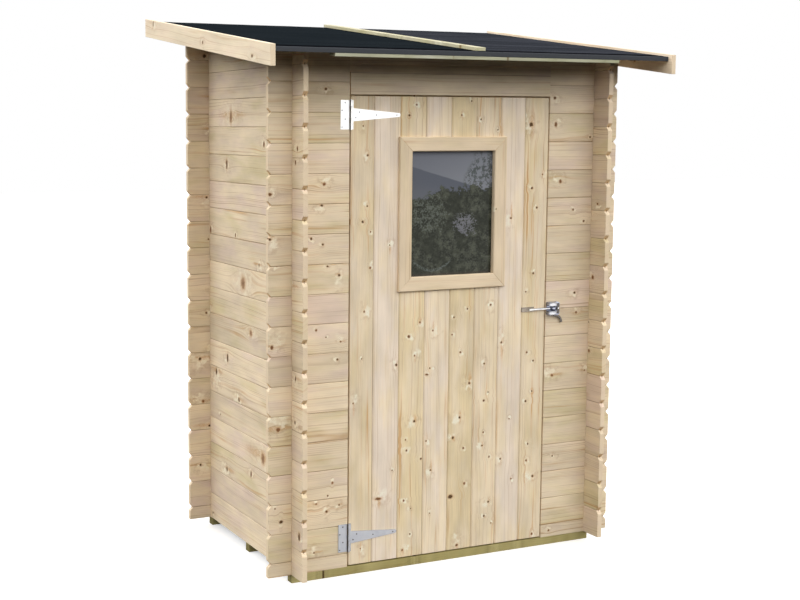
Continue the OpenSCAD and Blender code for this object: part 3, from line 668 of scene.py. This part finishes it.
def outward_mesh(work, name):
    """The smooth mesh of a bmesh of closed grids, its faces turned outwards."""
    bmesh.ops.recalc_face_normals(work, faces=work.faces)
    mesh = close_work(work, name)
    mesh.polygons.foreach_set("use_smooth", np.ones(len(mesh.polygons), bool))
    return mesh


# ---------------------------------------------------------------- felt

felt_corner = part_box("roof_felt_left")[0]       # front face and lower edge of the felt


def felt_finish(name, dark, light):
    """Mineral felt: pale and dark grit in streaks, a seam, near-black painted shade in the crease behind the
    fold, and the fold's front face painted lighter as if lit.
    """
    material, g, shader = new_material(name, Specular_IOR_Level=0.0, Roughness=0.95)
    place = g.put("TexCoord", out=3)
    x, y, z = g.split(place)
    grit = g.noise(place, 1100.0, 2.0, 0.7)
    patch = g.noise(g.vec(g.mul(x, 1.6), g.mul(y, 7.0), z), 1.0, 3.0, 0.55)
    tint = g.mix(g.span(grit, 0.3, 0.75), linear(*dark), linear(*light))
    tint = g.mix(g.span(patch, 0.35, 0.7, 0.0, 0.6), tint, linear(22, 27, 31))
    ragged = g.add(y, g.sway(g.noise(g.vec(g.mul(x, 25.0), 0.0), 1.0, 3.0), 0.006))
    behind = g.sub(ragged, felt_corner.y)
    # painted shade: a near-black stripe in the crease behind the front fold; lap is the seam's dark line
    fold = g.mul(g.span(behind, 0.0045, 0.009), g.below(behind, 0.06, 0.09), 0.92)
    lap = g.mul(g.span(behind, 0.205, 0.209), g.below(behind, 0.219, 0.224), 0.5)
    tint = g.mix(g.math("MAXIMUM", fold, lap), tint, linear(8, 8, 12))
    # painted light: the fold's front face gets a lighter grit, as if lit from the front
    front = g.below(behind, 0.0022, 0.004)
    tint = g.mix(front, tint, g.mix(grit, linear(54, 57, 61), linear(88, 90, 94)))
    bump = g.put("Bump", {"Strength": 0.5, "Distance": 0.001, "Height": grit})
    g.fill(shader, {"Base Color": tint, "Normal": bump})
    return material


def felt_section(y0, y1):
    """The felt's outline from front to rear as points (y, height over the deck's underside), a thin
    channel upside down: the outer line climbs the front fold, turns a round corner, dips a little in
    the fold's groove, and runs up to the rear fold; the inner line lies on the deck."""
    top = DECK_T + FELT_T
    turn = np.linspace(0, np.pi / 2, 6)
    round_r = 0.0034
    front = np.stack([y0 + round_r * (1 - np.cos(turn)), top - round_r * (1 - np.sin(turn))], 1)
    dip = 0.0011 * np.sin(np.linspace(0, np.pi, 12)) ** 2
    groove = np.stack([y0 + np.linspace(0.006, 0.034, 12), top - dip], 1)
    sag = 0.0004 * (1 - np.cos(np.linspace(0, 2 * np.pi, 40)))
    middle = np.stack([np.linspace(y0 + 0.06, y1 - 0.02, 40), top - sag], 1)
    rear = front[::-1] * [-1, 1] + [y0 + y1, 0]
    outer = [[[y0, 0.0], [y0, 0.006], [y0, 0.012]], front, groove, middle, rear, [[y1, 0.012], [y1, 0.0]]]
    inner = [[y1 - FELT_T, 0.0], [y1 - FELT_T, DECK_T], [y0 + FELT_T, DECK_T], [y0 + FELT_T, 0.0]]
    return np.vstack([*outer, inner])


def felt_sheet(node, finish, seed):
    """Felt over half of the deck: its section is carried across the roof, the folds' lower edges wander
    by a sum of sines, and the whole leans with the roof by its height over each point's y."""
    low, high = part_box(node)
    section = felt_section(low.y, high.y)
    x = np.linspace(low.x, high.x, 80)[:, None]
    phase = np.random.default_rng(seed).uniform(0, 6.28, 4)
    wander = sum(np.sin(x * f + p) for f, p in zip((9, 17, 31, 53), phase)) * 0.0004
    y, height = section[:, 0], section[:, 1]
    hem = (height < 0.001) * (1.0 + wander / 0.0016) * 0.0008
    roll = (height > DECK_T + 0.002) * (wander - 0.0016) * 0.25
    lean = felt_corner.z + math.tan(PITCH) * (y - felt_corner.y)
    work = bmesh.new()
    add_grid(work, np.stack(np.broadcast_arrays(x, y, height + hem + (roll + lean)), -1))
    mesh = outward_mesh(work, node.replace("felt", "covering"))
    mesh.set_sharp_from_angle(angle=math.radians(50))
    return add_piece(mesh, finish, "shed", "roofing_felt", node)


# one felt as two painted copies: the left half darker, painted in shade, the right half lighter, painted with
# its sheen in the light
felt_sheet("roof_felt_left", felt_finish("felt painted in shade", (16, 20, 23), (41, 47, 52)), 70)
felt_sheet("roof_felt_right", felt_finish("felt in the light", (38, 40, 45), (72, 74, 82)), 71)


# ---------------------------------------------------------------- hinges and latch

def zinc(name, bright, dark, rough, cloud=0.3):
    """Zinc plate: large faint spangles and soft stains, a little duller where it is rougher."""
    material, g, shader = new_material(name, Metallic=1.0)
    place = g.put("TexCoord", out=3)
    spangle = g.put("SeparateColor", {0: g.put("TexVoronoi", {"Vector": place, "Scale": 70.0}, 1)})
    stain = g.noise(place, 22.0, 4.0, 0.6)
    scratch = g.noise(g.put("VectorMath", {0: place, 1: (60.0, 60.0, 900.0)}, operation="MULTIPLY"))
    tint = g.mix(g.mul(spangle, cloud * 0.5), linear(*bright), linear(*dark))
    tint = g.mix(g.span(stain, 0.45, 0.75, 0.0, cloud), tint, linear(*dark))
    bump = g.put("Bump", {"Strength": 0.12, "Distance": 0.0004, "Height": scratch})
    g.fill(shader, {"Base Color": tint, "Roughness": g.add(g.mul(stain, 0.16), rough), "Normal": bump})
    return material


# one zinc as painted copies: lit for the top hinge and the stud's glint, and shaded for the bottom hinge,
# also the screws' duller zinc
ZINC_PAINTED_LIT = zinc("zinc painted lit", (238, 238, 236), (208, 210, 214), 0.3)
ZINC_DULL_AND_SHADED = zinc("dull zinc and painted shade", (163, 165, 171), (134, 138, 147), 0.34)
ZINC_LATCH = zinc("latch zinc", (206, 207, 210), (134, 139, 152), 0.26, 0.9)
# the latch bar's zinc is painted brighter as its highlight
ZINC_BAR = zinc("zinc with painted highlight", (232, 232, 230), (176, 180, 190), 0.22, 0.6)
ZINC_BLUE = zinc("blued zinc", (172, 176, 190), (118, 124, 144), 0.3, 0.6)
ZINC_WORN = zinc("worn zinc", (146, 137, 126), (104, 97, 90), 0.42, 0.6)
STEEL_DARK_AND_SHADE = zinc("dark steel and painted shade", (104, 100, 96), (56, 54, 54), 0.4, 0.6)


def metalwork(node, body, finish, arris=0.0006):
    """A metal part of the frame with its outer edges rounded."""
    work = merged_copy(node)
    soften(work, arris, 0.7)
    return add_piece(close_work(work, node + "_formed"), finish, body, "zinc_plate", node)


def two_finishes(piece, second, where):
    """Gives the faces that where picks, by their centres, a second finish."""
    piece.data.materials.append(second)
    chosen = where(read(piece.data.polygons, "center", 3))
    piece.data.polygons.foreach_set("material_index", chosen.astype(np.int32))


def screw_heads(name, places, face_y, finish, body):
    """Domed screw heads with a cross recess, facing the front. Over the head's radius and angle the
    height is a shallow dome that falls to the plate at the rim, less a cross that fades outwards."""
    ring = np.linspace(0.02, 1.0, 10)[:, None]
    turn = np.linspace(0, 2 * np.pi, 40, endpoint=False)[None, :]
    x, z = ring * np.cos(turn), ring * np.sin(turn)
    cross = np.clip(1 - np.minimum(abs(x), abs(z)) / 0.2, 0, 1) * np.clip((0.62 - ring) / 0.25, 0, 1)
    rise = SCREW * 0.34 * (1 - ring ** 2.4) - SCREW * 0.22 * cross
    rise[-1] = -SCREW * 0.1
    work = bmesh.new()
    for px, pz in places:
        add_grid(work, np.stack([px + SCREW * x, face_y - rise, pz + SCREW * z], -1))
    return add_piece(outward_mesh(work, name), finish, body, "zinc_plate")


# screw places from the pin and the middle of the leaf: to the right, up
LEAF_SCREWS = [(-0.0245, 0.0453), (-0.0375, 0.0163), (-0.024, -0.0167), (-0.0375, -0.0467)]
STRAP_SCREWS = [(0.037, 0.0103), (0.021, -0.0107), (0.110, -0.0007), (0.200, -0.0007)]


def hinge(where, finish, screw_finish):
    """A tee hinge: its leaf on the wall and its strap on the door, each with a dark strip beside the pin
    that is a painted shadow line along the knuckle, and their screws."""
    low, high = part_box("hinge_leaf_" + where)
    pin_x, middle_z, plate_y = high.x - 0.0055, (low.z + high.z) / 2, high.y - 0.003
    for part, body in (("leaf", "shed"), ("strap", "door")):
        # painted shadow: a dark strip on each plate along the knuckle
        two_finishes(metalwork("hinge_%s_%s" % (part, where), body, finish), STEEL_DARK_AND_SHADE,
                     lambda c: (c[:, 0] > pin_x - 0.0062) & (c[:, 0] < pin_x - 0.0028))
    for part, body, places in (("leaf", "shed", LEAF_SCREWS), ("strap", "door", STRAP_SCREWS)):
        screw_heads("screws_%s_%s" % (part, where), [(pin_x + x, middle_z + z) for x, z in places],
                    plate_y, screw_finish, body)


# the two hinges are painted lit and shaded copies: the top one lit, the bottom one in shade
hinge("top", ZINC_PAINTED_LIT, ZINC_DULL_AND_SHADED)
hinge("bottom", ZINC_DULL_AND_SHADED, STEEL_DARK_AND_SHADE)


def bosses(name, finish, body, *shapes):
    """One piece of domed bosses, each given by its middle (x, z), half width and half height, flat back,
    rise and power. Over a radius and an angle the outline is a superellipse of that power, and the
    height over the back falls from rise at the middle to nothing at the rim as
    (1 - radius ** 3) ** (1 / 2)."""
    ring = np.linspace(0.03, 1.0, 14)[:, None]
    turn = np.linspace(0, 2 * np.pi, 48, endpoint=False)[None, :]
    c, s = np.cos(turn), np.sin(turn)
    work = bmesh.new()
    for middle, size, back, rise, power in shapes:
        x = ring * np.sign(c) * abs(c) ** (2 / power) * size[0]
        z = ring * np.sign(s) * abs(s) ** (2 / power) * size[1]
        height = rise * np.sqrt(np.clip(1 - ring ** 3, 0, 1)) + 0 * x
        add_grid(work, np.stack([middle[0] + x, back - height, middle[1] + z], -1))
    return add_piece(outward_mesh(work, name), finish, body, "zinc_plate")


bar_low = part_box("latch_bar")[0]
catch_low, catch_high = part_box("latch_catch")
latch_z = (catch_low.z + catch_high.z) / 2
wall_y, bracket_x = catch_high.y, catch_high.x - 0.0078
jaw_h = (catch_high.z - catch_low.z) / 2 - 0.009     # height of one jaw
jaw_x, jaw_z = catch_low.x + 0.021, (catch_high.z - catch_low.z - jaw_h) / 2
two_finishes(metalwork("latch_bar", "door", ZINC_BAR), ZINC_WORN,
             lambda c: (c[:, 0] < bar_low.x + 0.06) & (c[:, 1] > wall_y - 0.0045))
metalwork("latch_catch", "shed", ZINC_BLUE, 0.0012)
# painted shade: the lever faces down and gets the dark steel
metalwork("latch_lever", "shed", STEEL_DARK_AND_SHADE, 0.0012)
bosses("latch_jaw_domes", ZINC_LATCH, "shed",
       *[((jaw_x, latch_z + side * jaw_z), (0.0195, jaw_h * 0.5), catch_low.y + 0.0003, 0.0065, 2.7)
         for side in (-1, 1)])
bosses("latch_jaw_bracket", STEEL_DARK_AND_SHADE, "shed",
       ((bracket_x, latch_z), (0.0062, catch_high.z - latch_z - 0.004), catch_low.y + 0.0003, 0.0022, 5.0))
bosses("latch_button", ZINC_BLUE, "shed",
       ((catch_low.x + 0.0305, latch_z), (0.0105, 0.0085), wall_y - 0.003, 0.0165, 2.0))
bosses("latch_stud", ZINC_PAINTED_LIT, "shed",
       ((bracket_x, latch_z + 0.001), (0.0036, 0.0036), catch_low.y - 0.0015, 0.002, 2.0))


# ---------------------------------------------------------------- window glass with a painted reflection

def painted_garden_reflection():
    """Dark glass with a painted reflection of a garden: sky, a hill that falls to the right, a leafy crown
    below, pale blossom, and a thin tree that climbs the right side. u and v run 0 to 1 across and up."""
    low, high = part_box("window_glass")
    material, g, shader = new_material("dark glass with painted reflection", Roughness=0.04, IOR=1.3, Specular_IOR_Level=0.3)
    x, y, z = g.split(g.put("TexCoord", out=3))
    u = g.div(g.sub(x, low.x), high.x - low.x)
    v = g.div(g.sub(z, low.z), high.z - low.z)
    place = g.vec(u, g.mul(v, 1.3))
    big = g.noise(place, 4.5, 4.0, 0.6)
    tuft = g.noise(place, 15.0, 4.0, 0.62)
    leaf = g.noise(place, 52.0, 3.0, 0.6)
    sky = g.mix(g.span(g.add(v, g.mul(u, -0.3)), 0.45, 0.95), linear(132, 135, 142), linear(114, 117, 126))
    over_hill = g.sub(v, g.add(g.sway(big, 0.02), 0.88, g.mul(u, -0.223)))
    view = g.mix(g.below(over_hill, -0.006, 0.006), sky, linear(94, 98, 108))
    view = g.mix(g.below(over_hill, -0.3, -0.05, 0.5), view, linear(104, 106, 110))

    # the crown's outline: high in the middle, lower at the left, ragged
    crown = g.add(g.sway(big, 0.2), 0.62, g.span(u, 0.05, 0.5, 0.0, 0.08), g.sway(tuft, 0.2),
                  g.sway(leaf, 0.1))
    solid = g.below(g.sub(v, crown), -0.012, 0.012)
    shade = g.mix(g.span(tuft, 0.4, 0.64), linear(40, 43, 34), linear(80, 83, 70))
    shade = g.mix(g.span(leaf, 0.44, 0.66, 0.0, 0.45), shade, linear(102, 105, 95))
    shade = g.mix(g.below(big, 0.4, 0.58, 0.75), shade, linear(42, 45, 35))
    view = g.mix(solid, view, shade)

    # a thin tree over the sky at the right, and pale blossom in two drifts
    rise = g.add(g.sway(big, 0.3), 0.62, g.span(u, 0.55, 0.8, 0.0, 0.36))
    twigs = g.mul(g.below(g.sub(v, rise), -0.1, 0.05), g.span(g.add(g.mul(leaf, 0.5), tuft), 0.7, 0.82),
                  g.span(u, 0.56, 0.66, 0.0, 0.8), g.sub(1.0, solid))
    view = g.mix(twigs, view, linear(72, 78, 74))
    for tint, middle_u, middle_v, wide, tall, most in ((linear(98, 104, 96), 0.22, 0.5, 0.24, 0.16, 0.09),
                                                       (linear(124, 124, 132), 0.66, 0.41, 0.15, 0.09, 0.13)):
        far = g.add(g.math("POWER", g.div(g.sub(u, middle_u), wide), 2.0),
                    g.math("POWER", g.div(g.sub(v, middle_v), tall), 2.0))
        petal = g.add(g.mul(tuft, 0.7), g.mul(leaf, 0.8), g.span(far, 0.0, 2.4, most, -0.16))
        view = g.mix(g.mul(g.span(petal, 0.8, 0.92, 0.0, 0.75), solid), view, tint)
    stem = g.math("ABSOLUTE", g.sub(v, g.add(g.mul(g.math("POWER", g.sub(u, 0.28), 2.0), 1.6), 0.05)))
    stem = g.mul(g.span(leaf, 0.35, 0.6), g.below(v, 0.1, 0.16), g.below(stem, 0.004, 0.016), 0.6)
    view = g.mix(stem, view, linear(108, 116, 112))
    # darker and browner towards the bottom edge of the pane, part of the painted reflection
    view = g.mix(g.below(v, 0.0, 0.05, 0.7), view, linear(66, 58, 52))
    g.fill(shader, {"Base Color": view})
    return material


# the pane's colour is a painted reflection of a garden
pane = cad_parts["window_glass"].data
pane.materials.clear()
pane.materials.append(painted_garden_reflection())


# ---------------------------------------------------------------- stage, light and camera

def bare_graph(owner):
    """The emptied node tree of a material or a world, as a graph."""
    owner.use_nodes = True
    owner.node_tree.nodes.clear()
    return Graph(owner.node_tree)


def show(g, kind, lit, seen):
    """Ends a tree: the camera sees the one shader, straight or through a mirror or glass, and the
    other one lights the object."""
    rays = g.put("LightPath").node.outputs
    eye = g.math("MAXIMUM", g.math("MAXIMUM", rays["Is Camera Ray"], rays["Is Glossy Ray"]),
                 rays["Is Transmission Ray"])
    g.fill(g.tree.nodes.new("ShaderNodeOutput" + kind),
           {"Surface": g.put("MixShader", {0: eye, 1: lit, 2: seen})})


floor_mesh = bpy.data.meshes.new("floor")
floor_mesh.from_pydata([(-30, -30, 0), (30, -30, 0), (30, 30, 0), (-30, 30, 0)], [], [(0, 1, 2, 3)])
floor = bpy.data.objects.new("floor", floor_mesh)
bpy.context.scene.collection.objects.link(floor)
floor_finish = bpy.data.materials.new("pale floor")
floor_mesh.materials.append(floor_finish)
g = bare_graph(floor_finish)
glow = g.put("Emission", {"Color": (1, 1, 1, 1), "Strength": 0.4})
show(g, "Material", g.put("BsdfDiffuse", {"Color": (0.02, 0.02, 0.02, 1)}),
     g.put("AddShader", {0: g.put("BsdfDiffuse", {"Color": (0.85, 0.85, 0.85, 1)}), 1: glow}))

world = bpy.data.worlds.new("studio")
bpy.context.scene.world = world
g = bare_graph(world)
x, y, up = g.split(g.put("TexCoord", out=0))    # up is the sine of the height above the horizon
level = g.math("SQRT", g.math("MAXIMUM", g.sub(1.0, g.mul(up, up)), 0.0001))
front_left = g.mul(g.div(g.add(x, y), level), -0.7071)     # 1 towards the front left corner
dome = g.mul(g.span(up, 0.06, 0.22), g.span(up, 0.6, 0.95, 1.0, 0.1),
             g.span(front_left, 0.5, 0.92, 1.0, 0.6), DOME_LIGHT)
show(g, "World", g.put("Background", {"Color": (1.0, 0.995, 0.985, 1), "Strength": dome}),
     g.put("Background", {"Color": (1, 1, 1, 1), "Strength": 1.0}))

camera = bpy.data.cameras.new("camera")
camera.sensor_width, camera.lens = 36.0, 59.73
camera.shift_x, camera.shift_y = 0.155, -0.0338
camera.clip_end = 100
viewer = bpy.data.objects.new("camera", camera)
ahead = Vector((math.sin(CAMERA_YAW) * math.cos(CAMERA_DIP), math.cos(CAMERA_YAW) * math.cos(CAMERA_DIP),
                -math.sin(CAMERA_DIP)))
viewer.location = CAMERA_AT
viewer.rotation_euler = ahead.to_track_quat("-Z", "Y").to_euler()
bpy.context.scene.collection.objects.link(viewer)
bpy.context.scene.camera = viewer
bpy.context.scene.view_settings.view_transform = "Standard"
